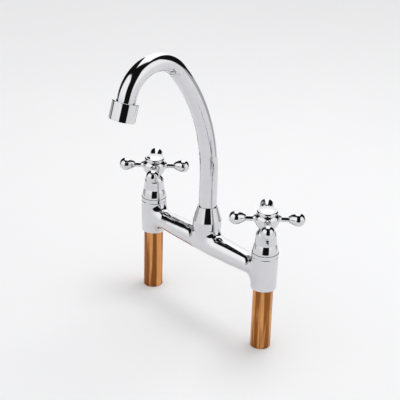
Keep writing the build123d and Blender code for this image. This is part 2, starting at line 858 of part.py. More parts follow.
# ================================================================ what holds the spout
# acetal rings the collar turns between
bearing_seats = {"lower": (neck_socket_r, spigot_top), "upper": (tube_way_r, upper_bearing_height)}
for place, (bearing_bore_r, bearing_height) in bearing_seats.items():
    with BuildPart() as bearing:
        with BuildSketch(section(0)):
            with BuildLine():
                ring_outline(
                    bearing_bore_r, collar_r, bearing_height, bearing_height + bearing_thickness
                )
            make_face()
        revolve(axis=upright(0))
    bearing.part.label = f"{place}_bearing"
    export_step(bearing.part, f"parts/{place}_bearing.step")

# conical nut over the collar
with BuildPart() as spout_nut:
    with BuildSketch(section(0)) as nut_profile:
        with BuildLine():
            Polyline(
                (0, neck_height),
                (nut_r, neck_height),
                (nut_r, neck_height + nut_band),
                (nut_top_r, nut_top),
                (0, nut_top),
                close=True,
            )
        make_face()
        outer_corners = nut_profile.vertices().filter_by_position(Axis.X, tube_way_r, nut_r)
        foot_corner, band_corner, top_corner = outer_corners.sort_by(Axis.Y)
        fillet(foot_corner, nut_foot_round)
        fillet(band_corner, nut_band_round)
        fillet(top_corner, nut_top_round)
        with BuildLine():
            Polyline(
                (0, neck_height),
                (nut_thread_r, neck_height),
                (nut_thread_r, spigot_top + nut_thread_relief),
                (collar_r + pass_gap, spigot_top + nut_thread_relief),
                (collar_r + pass_gap, nut_shoulder),
                (tube_way_r, nut_shoulder),
                (tube_way_r, nut_top),
                (0, nut_top),
                close=True,
            )
        make_face(mode=Mode.SUBTRACT)
    revolve(axis=upright(0))
spout_nut.part.label = "spout_nut"
export_step(spout_nut.part, "parts/spout_nut.step")

# ================================================================ the spout that swings
# turned foot with its collar, brazed under the tube
with BuildPart() as spout_foot:
    with BuildSketch(section(0)):
        with BuildLine():
            Polyline(
                (foot_bore_r, foot_bottom),
                (foot_r, foot_bottom),
                (foot_r, collar_seat),
                (collar_r, collar_seat),
                (collar_r, collar_top),
                (tube_r + braze_gap, collar_top),
                (tube_r + braze_gap, tube_foot_height),
                (foot_bore_r, tube_foot_height),
                close=True,
            )
        make_face()
        for ring_height in foot_ring_heights:
            with BuildLine():
                groove_outline(neck_socket_r, foot_r, foot_ring_section, ring_height)
            make_face(mode=Mode.SUBTRACT)
    revolve(axis=upright(0))
spout_foot.part.label = "spout_foot"
export_step(spout_foot.part, "parts/spout_foot.step")

# two rubber rings in the foot's grooves
with BuildPart() as foot_rings:
    with BuildSketch(section(0)):
        ring_r = seal_ring_radius(neck_socket_r, foot_ring_section)
        for ring_height in foot_ring_heights:
            with Locations((ring_r, ring_height)):
                Circle(foot_ring_section / 2)
    revolve(axis=upright(0))
foot_rings.part.label = "foot_rings"
export_step(foot_rings.part, "parts/foot_rings.step")

# swan-neck tube, bent from one length
with BuildPart() as spout_tube:
    with BuildLine():
        Line((0, 0, tube_foot_height), (0, 0, column_height))
        ThreePointArc(
            (0, 0, column_height),
            in_space(on_arc(sweep_centre, sweep_r, sweep_angle / 2)),
            in_space(sweep_end),
        )
        ThreePointArc(
            in_space(sweep_end),
            in_space(on_arc(crown_centre, crown_r, sweep_angle + crown_angle / 2)),
            in_space(crown_end),
        )
        Line(in_space(crown_end), in_space(tube_end))
    with BuildSketch(Plane((0, 0, tube_foot_height))):
        Circle(tube_r)
        Circle(tube_r - tube_wall, mode=Mode.SUBTRACT)
    sweep()
spout_tube.part.label = "spout_tube"
export_step(spout_tube.part, "parts/spout_tube.step")

# sleeve brazed over the tube's end, threaded for the aerator
with BuildPart() as outlet_sleeve:
    with BuildSketch(outlet_section) as sleeve_profile:
        with BuildLine():
            ring_outline(0, sleeve_r, 0, sleeve_length)
        make_face()
        head_corner, foot_corner = (
            vertices().filter_by_position(Axis.X, sleeve_stop_r, sleeve_r).sort_by(Axis.Y)
        )
        fillet(head_corner, sleeve_edge_round)
        fillet(foot_corner, sleeve_foot_round)
        with BuildLine():
            Polyline(
                (0, 0),
                (tube_r + braze_gap, 0),
                (tube_r + braze_gap, sleeve_tube_depth),
                (sleeve_stop_r, sleeve_tube_depth),
                (sleeve_stop_r, sleeve_stop_depth),
                (aerator_thread_r, sleeve_stop_depth),
                (aerator_thread_r, sleeve_length),
                (0, sleeve_length),
                close=True,
            )
        make_face(mode=Mode.SUBTRACT)
    revolve(axis=outlet_axis)
outlet_sleeve.part.label = "outlet_sleeve"
export_step(outlet_sleeve.part, "parts/outlet_sleeve.step")

# rubber washer the aerator is screwed up against
with BuildPart() as aerator_washer:
    with BuildSketch(outlet_section):
        with BuildLine():
            ring_outline(
                sleeve_stop_r,
                aerator_thread_r - drop_in_gap,
                sleeve_stop_depth,
                washer_foot,
            )
        make_face()
    revolve(axis=outlet_axis)
aerator_washer.part.label = "aerator_washer"
export_step(aerator_washer.part, "parts/aerator_washer.step")

# aerator's threaded shell with a lip that holds the insert
with BuildPart() as aerator_shell:
    with BuildSketch(outlet_section):
        with BuildLine():
            Polyline(
                (shell_r - aerator_wall, washer_foot),
                (shell_r, washer_foot),
                (shell_r, sleeve_length),
                (aerator_rim_r, sleeve_length),
                (aerator_rim_r, aerator_foot),
                (aerator_lip_r, aerator_foot),
                (aerator_lip_r, screen_foot),
                (shell_r - aerator_wall, screen_foot),
                close=True,
            )
        make_face()
        fillet(vertices().sort_by(Axis.X)[-2:].sort_by(Axis.Y)[-1], aerator_rim_round)
    revolve(axis=outlet_axis)
aerator_shell.part.label = "aerator_shell"
export_step(aerator_shell.part, "parts/aerator_shell.step")

# plastic insert whose jets draw in the air
with BuildPart() as aerator_insert:
    with BuildSketch(outlet_section):
        with BuildLine():
            Polyline(
                (0, washer_foot),
                (insert_r, washer_foot),
                (insert_r, screen_foot - screen_thickness),
                (insert_r - insert_wall, screen_foot - screen_thickness),
                (insert_r - insert_wall, washer_foot + insert_plate),
                (0, washer_foot + insert_plate),
                close=True,
            )
        make_face()
    revolve(axis=outlet_axis)
    with BuildSketch(across_outlet(washer_foot)):
        with PolarLocations(jet_circle_r, jet_count):
            Circle(jet_r)
    extrude(amount=insert_plate, mode=Mode.SUBTRACT)
aerator_insert.part.label = "aerator_insert"
export_step(aerator_insert.part, "parts/aerator_insert.step")

# steel screen, a honeycomb of holes
with BuildPart() as aerator_screen:
    row_pitch = mesh_pitch * sin(radians(60))
    mesh_places = []
    for row in range(-mesh_rings, mesh_rings + 1):
        for place in range(2 * mesh_rings + 1 - abs(row)):
            first = -mesh_rings + abs(row) / 2
            mesh_places.append(((first + place) * mesh_pitch, row * row_pitch))
    with BuildSketch(across_outlet(screen_foot - screen_thickness)):
        Circle(insert_r)
        with Locations(*mesh_places):
            RegularPolygon(mesh_hole_r, 6, mode=Mode.SUBTRACT)
    extrude(amount=screen_thickness)
aerator_screen.part.label = "aerator_screen"
export_step(aerator_screen.part, "parts/aerator_screen.step")
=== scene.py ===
import math

import bpy
import numpy as np
from mathutils import Euler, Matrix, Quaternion, Vector


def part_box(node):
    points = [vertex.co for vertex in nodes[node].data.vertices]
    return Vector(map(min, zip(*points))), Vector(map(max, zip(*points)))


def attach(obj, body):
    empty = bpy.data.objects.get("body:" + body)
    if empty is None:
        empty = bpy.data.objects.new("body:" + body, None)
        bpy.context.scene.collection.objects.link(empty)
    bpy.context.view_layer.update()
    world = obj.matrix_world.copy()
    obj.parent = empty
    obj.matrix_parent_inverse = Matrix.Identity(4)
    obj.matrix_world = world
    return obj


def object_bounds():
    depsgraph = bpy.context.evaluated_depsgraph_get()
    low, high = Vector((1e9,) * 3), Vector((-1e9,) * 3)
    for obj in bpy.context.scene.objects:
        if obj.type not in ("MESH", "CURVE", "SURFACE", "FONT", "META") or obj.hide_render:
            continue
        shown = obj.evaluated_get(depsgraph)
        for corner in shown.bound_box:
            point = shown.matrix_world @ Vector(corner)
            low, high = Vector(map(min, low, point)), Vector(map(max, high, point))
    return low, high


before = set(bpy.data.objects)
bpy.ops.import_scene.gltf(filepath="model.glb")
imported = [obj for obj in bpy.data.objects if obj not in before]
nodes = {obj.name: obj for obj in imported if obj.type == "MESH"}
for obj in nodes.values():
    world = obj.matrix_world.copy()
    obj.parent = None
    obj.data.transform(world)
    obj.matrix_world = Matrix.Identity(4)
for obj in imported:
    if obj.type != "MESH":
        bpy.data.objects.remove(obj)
cad_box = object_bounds()

# ---------------------------------------------------------------- copper tails
# Two lengths of 22 mm copper pipe, cold drawn and left bare. The die leaves fine lines along the
# pipe, and handling leaves brown clouds and streaks. Each is brazed into its pillar's foot.
copper_bright = (0.80, 0.39, 0.145, 1)
copper_brown = (0.68, 0.31, 0.105, 1)
copper_roughness = (0.40, 0.50)
tarnish_brown = (0.30, 0.105, 0.025, 1)
tarnish_stretch = (1, 1, 0.05)
tarnish_span = (0.34, 0.54)  # of the streaks' pattern: brown below it, bare copper above


def add_node(tree, kind, sockets=None, **settings):
    """Node of a kind, with its settings, and with values or other nodes' outputs on its sockets."""
    node = tree.nodes.new(kind)
    for name, value in settings.items():
        setattr(node, name, value)
    for name, value in (sockets or {}).items():
        if isinstance(value, bpy.types.NodeSocket):
            tree.links.new(value, node.inputs[name])
        else:
            node.inputs[name].default_value = value
    return node


def start_group(name, inputs, outputs):
    """Empty node group with named sockets; returns its tree and its input and output nodes."""
    tree = bpy.data.node_groups.new(name, "ShaderNodeTree")
    for socket, kind in inputs.items():
        tree.interface.new_socket(socket, in_out="INPUT", socket_type="NodeSocket" + kind)
    for socket, kind in outputs.items():
        tree.interface.new_socket(socket, in_out="OUTPUT", socket_type="NodeSocket" + kind)
    return tree, tree.nodes.new("NodeGroupInput"), tree.nodes.new("NodeGroupOutput")


def place_group(tree, group, sockets):
    """The group as one node of a material, with its values."""
    node = tree.nodes.new("ShaderNodeGroup")
    node.node_tree = group
    for name, value in sockets.items():
        node.inputs[name].default_value = value
    return node


def start_material(name):
    """New material; returns it, its tree and its Principled shader."""
    material = bpy.data.materials.new(name)
    material.use_nodes = True
    return material, material.node_tree, material.node_tree.nodes["Principled BSDF"]


def dress(material, *names):
    """Gives CAD nodes their finish."""
    for name in names:
        nodes[name].data.materials.clear()
        nodes[name].data.materials.append(material)


def both_sides(piece):
    """The hot and the cold node of a piece that each pillar has."""
    return [f"hot_{piece}", f"cold_{piece}"]


def build_clouds():
    """Group: two colours mixed in soft clouds."""
    tree, given, out = start_group(
        "clouds", {"Light": "Color", "Dark": "Color", "Scale": "Float"}, {"Color": "Color"}
    )
    place = add_node(tree, "ShaderNodeTexCoord")
    noise = add_node(
        tree,
        "ShaderNodeTexNoise",
        {
            "Vector": place.outputs["Object"],
            "Scale": given.outputs["Scale"],
            "Detail": 5.0,
            "Roughness": 0.6,
        },
    )
    spread = add_node(
        tree,
        "ShaderNodeMapRange",
        {"Value": noise.outputs["Fac"], "From Min": 0.3, "From Max": 0.7},
    )
    # A colour mix has its share on socket 0, its colours on 6 and 7 and its result on output 2.
    mixed = add_node(tree, "ShaderNodeMix", data_type="RGBA")
    tree.links.new(spread.outputs["Result"], mixed.inputs[0])
    tree.links.new(given.outputs["Dark"], mixed.inputs[6])
    tree.links.new(given.outputs["Light"], mixed.inputs[7])
    tree.links.new(mixed.outputs[2], out.inputs["Color"])
    return tree


def build_fine_lines():
    """Group: fine lines along or round a piece, as a height and as a roughness."""
    tree, given, out = start_group(
        "fine_lines",
        {"Stretch": "Vector", "Scale": "Float", "Low": "Float", "High": "Float"},
        {"Height": "Float", "Roughness": "Float"},
    )
    place = add_node(tree, "ShaderNodeTexCoord")
    stretched = add_node(
        tree,
        "ShaderNodeMapping",
        {"Vector": place.outputs["Object"], "Scale": given.outputs["Stretch"]},
    )
    noise = add_node(
        tree,
        "ShaderNodeTexNoise",
        {"Vector": stretched.outputs["Vector"], "Scale": given.outputs["Scale"], "Detail": 3.0},
    )
    rough = add_node(
        tree,
        "ShaderNodeMapRange",
        {
            "Value": noise.outputs["Fac"],
            "From Min": 0.3,
            "From Max": 0.7,
            "To Min": given.outputs["Low"],
            "To Max": given.outputs["High"],
        },
    )
    tree.links.new(noise.outputs["Fac"], out.inputs["Height"])
    tree.links.new(rough.outputs["Result"], out.inputs["Roughness"])
    return tree


clouds = build_clouds()
fine_lines = build_fine_lines()


def lined_material(
    name, light, dark, cloud_scale, stretch, line_scale, line_depth, roughness, metal
):
    """Clouded colour with fine lines from drawing, turning or lapping."""
    material, tree, shader = start_material(name)
    cloud = place_group(tree, clouds, {"Light": light, "Dark": dark, "Scale": cloud_scale})
    low, high = roughness
    lines = place_group(
        tree, fine_lines, {"Stretch": stretch, "Scale": line_scale, "Low": low, "High": high}
    )
    bump = add_node(
        tree, "ShaderNodeBump", {"Height": lines.outputs["Height"], "Distance": line_depth}
    )
    tree.links.new(cloud.outputs["Color"], shader.inputs["Base Color"])
    tree.links.new(lines.outputs["Roughness"], shader.inputs["Roughness"])
    tree.links.new(bump.outputs["Normal"], shader.inputs["Normal"])
    shader.inputs["Metallic"].default_value = metal
    return material


def tarnish(material):
    """Lays brown streaks along the pipe over a material's own colour."""
    tree = material.node_tree
    base = tree.nodes["Principled BSDF"].inputs["Base Color"]
    streaks = place_group(
        tree, fine_lines, {"Stretch": tarnish_stretch, "Scale": 120.0, "Low": 0.0, "High": 1.0}
    )
    bare = add_node(
        tree,
        "ShaderNodeMapRange",
        {
            "Value": streaks.outputs["Roughness"],
            "From Min": tarnish_span[0],
            "From Max": tarnish_span[1],
        },
    )
    streaked = add_node(tree, "ShaderNodeMix", {6: tarnish_brown}, data_type="RGBA")
    tree.links.new(bare.outputs["Result"], streaked.inputs[0])
    tree.links.new(base.links[0].from_socket, streaked.inputs[7])
    tree.links.new(streaked.outputs[2], base)


bare_copper = lined_material(
    "bare_copper",
    light=copper_bright,
    dark=copper_brown,
    cloud_scale=42.0,
    stretch=(1, 1, 0.012),
    line_scale=2600.0,
    line_depth=0.000012,
    roughness=copper_roughness,
    metal=1.0,
)
tarnish(bare_copper)
dress(bare_copper, *both_sides("tail"))

# ---------------------------------------------------------------- bridge casting
# Brass, sand cast with its pillars, arms and neck in one, ground, buffed, then nickel and chrome
# plated. Buffing waves the surface a little, so what it mirrors is never quite straight.
chrome_light = (0.70, 0.70, 0.72, 1)
chrome_dark = (0.66, 0.66, 0.685, 1)
chrome_roughness = (0.025, 0.06)


def build_buffing():
    """Group: what the buffing wheel leaves: slow waves as a height, and a haze as a roughness."""
    tree, given, out = start_group(
        "buffing",
        {"Wave Scale": "Float", "Haze Scale": "Float", "Low": "Float", "High": "Float"},
        {"Height": "Float", "Roughness": "Float"},
    )
    place = add_node(tree, "ShaderNodeTexCoord")
    wave = add_node(
        tree,
        "ShaderNodeTexNoise",
        {
            "Vector": place.outputs["Object"],
            "Scale": given.outputs["Wave Scale"],
            "Detail": 1.0,
            "Roughness": 0.4,
        },
    )
    haze = add_node(
        tree,
        "ShaderNodeTexNoise",
        {
            "Vector": place.outputs["Object"],
            "Scale": given.outputs["Haze Scale"],
            "Detail": 6.0,
            "Roughness": 0.7,
        },
    )
    rough = add_node(
        tree,
        "ShaderNodeMapRange",
        {
            "Value": haze.outputs["Fac"],
            "From Min": 0.35,
            "From Max": 0.75,
            "To Min": given.outputs["Low"],
            "To Max": given.outputs["High"],
        },
    )
    tree.links.new(wave.outputs["Fac"], out.inputs["Height"])
    tree.links.new(rough.outputs["Result"], out.inputs["Roughness"])
    return tree


buffing = build_buffing()


def chrome_material(name, wave_scale, wave_depth):
    """Bright chrome plate, waved by buffing."""
    material, tree, shader = start_material(name)
    cloud = place_group(tree, clouds, {"Light": chrome_light, "Dark": chrome_dark, "Scale": 45.0})
    low, high = chrome_roughness
    waves = place_group(
        tree, buffing, {"Wave Scale": wave_scale, "Haze Scale": 160.0, "Low": low, "High": high}
    )
    bump = add_node(
        tree, "ShaderNodeBump", {"Height": waves.outputs["Height"], "Distance": wave_depth}
    )
    tree.links.new(cloud.outputs["Color"], shader.inputs["Base Color"])
    tree.links.new(waves.outputs["Roughness"], shader.inputs["Roughness"])
    tree.links.new(bump.outputs["Normal"], shader.inputs["Normal"])
    shader.inputs["Metallic"].default_value = 1.0
    return material


cast_chrome = chrome_material("chrome_on_casting", wave_scale=55.0, wave_depth=0.00025)
dress(cast_chrome, "bridge_body")

# ---------------------------------------------------------------- arms and neck
# The fuller outer form of the same casting, closed round the CAD node's slimmer arms and neck.
# The arms swell to the middle, and the pattern runs them into pillars and neck in soft hollows.
pillar_place = 0.090  # half the deck spacing
pillar_foot_radius = 0.0140
pillar_rim_radius = 0.0146
pillar_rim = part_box("cold_bonnet")[0].z
cover = 0.00005  # how far the form stays under what the CAD nodes show
pillar_hollow_radius = 0.0125
pillar_hollow_foot = 0.0035  # where the form ends, inside the pillar's wall
arm_axis = 0.0194
arm_middle_radius = 0.0132
arm_bow = 0.99  # radius of the arc that the arms' outline follows
neck_foot = 0.018
neck_foot_radius = 0.01105
neck_rim = 0.037
neck_rim_radius = 0.01515
neck_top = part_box("spout_nut")[0].z - cover
neck_hollow_radius = 0.0115
neck_hollow_foot = 0.030
arm_softness = 0.011  # width of the hollows between arms and pillars
neck_softness = 0.0095
cell = 0.0008  # of the grid that the form's surface is found on
grid_low = (-0.107, -0.0202, 0.002)
grid_high = (0.107, 0.0202, 0.0402)
settling_steps = 12  # in which a point slides from its cell's middle to the surface
least_steepness = 0.1  # keeps a slide short where two forms meet
probe = 0.000001  # step on which a slope is measured
merge_digits = 6  # points that are the same to a micrometre become one


def soft_union(a, b, softness):
    """Union of two forms, each given by its distance, with a hollow between them."""
    share = np.clip(0.5 + 0.5 * (b - a) / softness, 0, 1)
    return b + (a - b) * share - softness * share * (1 - share)


def casting_form(x, y, z):
    """Distance to the casting's surface, negative inside."""
    arm_radius = np.sqrt(arm_bow**2 - x**2) - arm_bow + arm_middle_radius
    arm = np.maximum(np.hypot(y, z - arm_axis) - arm_radius, np.abs(x) - pillar_place)
    pillar_reach = np.hypot(np.abs(x) - pillar_place, y)
    pillar_radius = pillar_foot_radius + (pillar_rim_radius - pillar_foot_radius) * z / pillar_rim
    pillar = np.maximum(pillar_reach - pillar_radius, z - pillar_rim) + cover
    neck_reach = np.hypot(x, y)
    rise = np.clip((z - neck_foot) / (neck_rim - neck_foot), 0, 1)
    neck_radius = neck_foot_radius + (neck_rim_radius - neck_foot_radius) * rise
    neck = np.maximum(neck_reach - neck_radius, neck_foot - z)
    form = soft_union(soft_union(arm, pillar, arm_softness), neck, neck_softness)
    form = np.maximum(form, np.maximum(z - neck_top, pillar_hollow_foot - z))
    form = np.maximum(form, pillar_hollow_radius - pillar_reach)
    neck_hollow = np.maximum(neck_reach - neck_hollow_radius, neck_hollow_foot - z)
    return np.maximum(form, -neck_hollow)


def slope(form, points):
    """Direction in which a form's distance grows, at each point."""
    parts = []
    for way in np.eye(3) * probe:
        ahead = form(*(points + way).T)
        behind = form(*(points - way).T)
        parts.append((ahead - behind) / (2 * probe))
    return np.stack(parts, axis=1)


def crossed_cells(inside):
    """Number of each cell of the grid that the surface crosses, and -1 for the others."""
    corners = np.zeros([size - 1 for size in inside.shape], int)
    rows, columns, layers = corners.shape
    for i, j, k in np.ndindex(2, 2, 2):
        corners += inside[i : i + rows, j : j + columns, k : k + layers]
    crossed = (corners > 0) & (corners < 8)
    number = np.full(corners.shape, -1)
    number[crossed] = np.arange(crossed.sum())
    return number


def grid_faces(inside, number):
    """A quad round each grid edge that the surface cuts, from the four cells that share it."""
    faces = []
    for axis in range(3):
        change = np.diff(inside.astype(int), axis=axis)
        one, two = (axis + 1) % 3, (axis + 2) % 3
        cuts = np.argwhere(change != 0)
        cuts = cuts[(cuts[:, one] > 0) & (cuts[:, two] > 0)]
        corners = []
        for back_one, back_two in ((1, 1), (0, 1), (0, 0), (1, 0)):
            cells = cuts.copy()
            cells[:, one] -= back_one
            cells[:, two] -= back_two
            corners.append(number[tuple(cells.T)])
        quads = np.stack(corners, axis=1)
        entering = change[tuple(cuts.T)] > 0
        quads[entering] = quads[entering][:, ::-1]
        faces.append(quads)
    return np.concatenate(faces)


def mesh_of(name, form, low, high):
    """Mesh on a form's surface: one point in each cell of a grid that the surface crosses."""
    axes = [np.arange(start, end + cell, cell) for start, end in zip(low, high)]
    inside = form(*np.meshgrid(*axes, indexing="ij")) < 0
    number = crossed_cells(inside)
    points = np.argwhere(number >= 0) * cell + np.array(low) + cell / 2
    for _ in range(settling_steps):
        way = slope(form, points)
        steepness = np.maximum((way**2).sum(axis=1), least_steepness)
        points -= (form(*points.T) / steepness)[:, None] * way
    _, first, place = np.unique(
        points.round(merge_digits), axis=0, return_index=True, return_inverse=True
    )
    points = points[first]
    faces = [list(dict.fromkeys(face)) for face in place[grid_faces(inside, number)].tolist()]
    mesh = bpy.data.meshes.new(name)
    mesh.from_pydata(points.tolist(), [], faces)
    normals = slope(form, points)
    normals /= np.linalg.norm(normals, axis=1)[:, None]
    mesh.shade_smooth()
    mesh.normals_split_custom_set_from_vertices(normals.tolist())
    return mesh


arms_and_neck = bpy.data.objects.new(
    "arms_and_neck", mesh_of("arms_and_neck", casting_form, grid_low, grid_high)
)
arms_and_neck.data.materials.append(cast_chrome)
bpy.context.scene.collection.objects.link(arms_and_neck)
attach(arms_and_neck, "bridge")

# ---------------------------------------------------------------- ceramic valves
# Two lapped discs of white alumina in each pillar, the lower one held by the housing's cage and
# the upper one turned by the spindle. A moulded rubber seal presses them together from below.
ceramic_white = (0.88, 0.87, 0.83, 1)
ceramic_shade = (0.80, 0.79, 0.745, 1)
rubber_black = (0.030, 0.030, 0.031, 1)
rubber_bloom = (0.055, 0.054, 0.053, 1)


def grained_material(name, light, dark, cloud_scale, grain_scale, grain_depth, roughness):
    """Clouded colour over a fine even grain, for what is pressed, fired or moulded."""
    return lined_material(
        name,
        light=light,
        dark=dark,
        cloud_scale=cloud_scale,
        stretch=(1, 1, 1),
        line_scale=grain_scale,
        line_depth=grain_depth,
        roughness=roughness,
        metal=0.0,
    )


lapped_ceramic = grained_material(
    "lapped_ceramic",
    light=ceramic_white,
    dark=ceramic_shade,
    cloud_scale=300.0,
    grain_scale=4200.0,
    grain_depth=0.000006,
    roughness=(0.16, 0.28),
)
black_rubber = grained_material(
    "black_rubber",
    light=rubber_black,
    dark=rubber_bloom,
    cloud_scale=260.0,
    grain_scale=1900.0,
    grain_depth=0.00003,
    roughness=(0.52, 0.72),
)
dress(lapped_ceramic, *both_sides("fixed_disc"), *both_sides("moving_disc"))
dress(black_rubber, *both_sides("valve_seal"), *both_sides("spindle_rings"))

# ---------------------------------------------------------------- headworks
# Housing and spindle are turned from brass bar and left bare, so the tool's rings show on them.
# A red fibre washer seals the housing on the pillar, and a stainless clip holds the spindle.
brass_light = (0.78, 0.58, 0.27, 1)
brass_dark = (0.66, 0.46, 0.19, 1)
turned_rings = (0.015, 0.015, 1)  # stretch of the tool's lines: flat rings
drawn_wire = (0.2, 1, 1)
fibre_red = (0.44, 0.065, 0.04, 1)
fibre_dark = (0.30, 0.04, 0.03, 1)
steel_light = (0.62, 0.62, 0.63, 1)
steel_dark = (0.52, 0.52, 0.54, 1)

turned_brass = lined_material(
    "turned_brass",
    light=brass_light,
    dark=brass_dark,
    cloud_scale=90.0,
    stretch=turned_rings,
    line_scale=3200.0,
    line_depth=0.00002,
    roughness=(0.20, 0.34),
    metal=1.0,
)
red_fibre = grained_material(
    "red_fibre",
    light=fibre_red,
    dark=fibre_dark,
    cloud_scale=420.0,
    grain_scale=2600.0,
    grain_depth=0.00004,
    roughness=(0.50, 0.70),
)
bright_steel = lined_material(
    "bright_steel",
    light=steel_light,
    dark=steel_dark,
    cloud_scale=140.0,
    stretch=drawn_wire,
    line_scale=3600.0,
    line_depth=0.00001,
    roughness=(0.14, 0.26),
    metal=1.0,
)
dress(turned_brass, *both_sides("valve_housing"), *both_sides("spindle"))
dress(red_fibre, *both_sides("housing_washer"))
dress(bright_steel, *both_sides("spindle_clip"))

# ---------------------------------------------------------------- bonnets
# Bell-shaped covers turned from brass, buffed and chrome plated, screwed down on the headworks.
# Turned pieces come off the lathe true, so their mirror image waves less than the casting's.
turned_chrome = chrome_material("chrome_on_turned", wave_scale=60.0, wave_depth=0.00012)
dress(turned_chrome, *both_sides("bonnet"))

# ---------------------------------------------------------------- cross handles
# Hub and four pear-shaped arms are one brass casting, buffed and plated, pushed on the spindle's
# spline and held by a brass screw. A plain turned cap presses into the hub over the screw.
handle_chrome = chrome_material("chrome_on_handle", wave_scale=70.0, wave_depth=0.0002)
dress(handle_chrome, *both_sides("cross_handle"))
dress(turned_brass, *both_sides("handle_screw"))
dress(turned_chrome, *both_sides("cap"))

# ---------------------------------------------------------------- spout foot and nut
# The foot is turned brass, sealed by two rubber rings, and its collar turns between two acetal
# rings under the nut. The nut is turned, buffed and chrome plated, and screws on the spigot.
acetal_white = (0.84, 0.84, 0.82, 1)
acetal_shade = (0.78, 0.78, 0.755, 1)

white_acetal = grained_material(
    "white_acetal",
    light=acetal_white,
    dark=acetal_shade,
    cloud_scale=180.0,
    grain_scale=2200.0,
    grain_depth=0.00001,
    roughness=(0.34, 0.46),
)
dress(turned_brass, "spout_foot")
dress(black_rubber, "foot_rings")
dress(white_acetal, "lower_bearing", "upper_bearing")
dress(turned_chrome, "spout_nut")

# ---------------------------------------------------------------- swan-neck tube
# Brass tube bent over formers to the swan's neck, polished along its length, chrome plated and
# brazed to its foot. Bending leaves long shallow waves that make the mirrored lines wander.
tube_chrome = chrome_material("chrome_on_tube", wave_scale=40.0, wave_depth=0.00025)
dress(tube_chrome, "spout_tube")

# ---------------------------------------------------------------- outlet
# A turned and plated sleeve brazed on the tube's end. The aerator screws up into it: a plated
# shell round an acetal insert with its jets, a stainless screen and a rubber washer above.
dress(turned_chrome, "outlet_sleeve", "aerator_shell")
dress(white_acetal, "aerator_insert")
dress(bright_steel, "aerator_screen")
dress(black_rubber, "aerator_washer")

# ---------------------------------------------------------------- table and lamp
# The faucet stands on a round white board in a larger white ground, and the chrome mirrors the
# board alone. A wide soft lamp hangs above and a little behind, and the room lights the rest.
table_height = cad_box[0].z
board_reach = 0.50
ground_size = 6.0
board_sides = 48
table_light = (0.93, 0.93, 0.935, 1)
table_shade = (0.915, 0.915, 0.922, 1)
room_light = (0.80, 0.80, 0.805, 1)
lamp_share = 0.24  # of a white table's light
lamp_height = 1.3
lamp_back = 0.35
lamp_size = 0.6
dark_room = (0.008, 0.008, 0.008, 1)

board_rim = []
ground_rim = []
for step in range(board_sides):
    turn = 2 * math.pi * step / board_sides
    across, along = math.cos(turn), math.sin(turn)
    board_rim.append((board_reach * across, board_reach * along, table_height))
    ground_reach = ground_size / 2 / max(abs(across), abs(along))
    ground_rim.append((ground_reach * across, ground_reach * along, table_height))
board_mesh = bpy.data.meshes.new("board")
board_mesh.from_pydata(board_rim, [], [tuple(range(board_sides))])
ground_mesh = bpy.data.meshes.new("ground")
ground_mesh.from_pydata(
    board_rim + ground_rim,
    [],
    [
        (step, board_sides + step, board_sides + (step + 1) % board_sides, (step + 1) % board_sides)
        for step in range(board_sides)
    ],
)
white_table = grained_material(
    "white_table",
    light=table_light,
    dark=table_shade,
    cloud_scale=2.5,
    grain_scale=900.0,
    grain_depth=0.00001,
    roughness=(0.88, 0.95),
)
white_table.node_tree.nodes["Principled BSDF"].inputs["Specular IOR Level"].default_value = 0.0
board = bpy.data.objects.new("board", board_mesh)
ground = bpy.data.objects.new("ground", ground_mesh)
for piece in (board, ground):
    piece.data.materials.append(white_table)
    bpy.context.scene.collection.objects.link(piece)
ground.visible_glossy = False

lamp_data = bpy.data.lights.new("lamp", "AREA")
lamp_data.shape = "DISK"
lamp_data.size = lamp_size
lamp_data.energy = lamp_share * math.pi**2 * (lamp_height**2 + lamp_back**2)
lamp = bpy.data.objects.new("lamp", lamp_data)
lamp.location = (0, lamp_back, table_height + lamp_height)
lamp.rotation_euler = (-math.atan2(lamp_back, lamp_height), 0, 0)
lamp.visible_glossy = False
bpy.context.scene.collection.objects.link(lamp)

world = bpy.data.worlds.new("room")
bpy.context.scene.world = world
world.use_nodes = True
tree = world.node_tree
tree.nodes.clear()
path = add_node(tree, "ShaderNodeLightPath")
dark = add_node(tree, "ShaderNodeBackground", {"Color": dark_room, "Strength": 1.0})
light = add_node(tree, "ShaderNodeBackground", {"Color": room_light, "Strength": 1.0})
pick = add_node(
    tree,
    "ShaderNodeMixShader",
    {
        "Fac": path.outputs["Is Glossy Ray"],
        1: light.outputs["Background"],
        2: dark.outputs["Background"],
    },
)
add_node(tree, "ShaderNodeOutputWorld", {"Surface": pick.outputs["Shader"]})

# ---------------------------------------------------------------- tent
# Three glowing white panels stand and hang round the table, a dimmer sheet runs low round the
# far side, and only the chrome sees them. The dark gaps between them draw its black lines.
tent_radius = 2.0
tent_height = 0.05
panel_rows = 24
panel_foot = -32  # degrees above the table's plane, as all heights of the tent are
dim_share = 0.28  # of a panel's height: as dim as its foot up to here
full_share = 0.62  # and at full strength from here
right_foot_edges = (-27, -112)  # azimuths
right_top_edges = (-42, -98)
right_top = 54
right_top_fall = 8  # from the middle to the side edges
left_middle = 165
left_half = 40
left_top = 59
left_top_fall = 14
back_middle = 40
back_top = 98
back_half = 23
back_flare = 32  # more half width at the foot
back_flare_share = 0.5
back_flare_curve = 1.3
low_edges = (-100, 148)
low_span = (-42, 1)
low_reach = 1.03  # times the other panels' distance


def direction(azimuth, elevation):
    """Unit vector: azimuth 0 is +Y and turns towards -X."""
    turn = math.radians(azimuth)
    rise = math.radians(elevation)
    return Vector(
        (-math.sin(turn) * math.cos(rise), math.cos(turn) * math.cos(rise), math.sin(rise))
    )


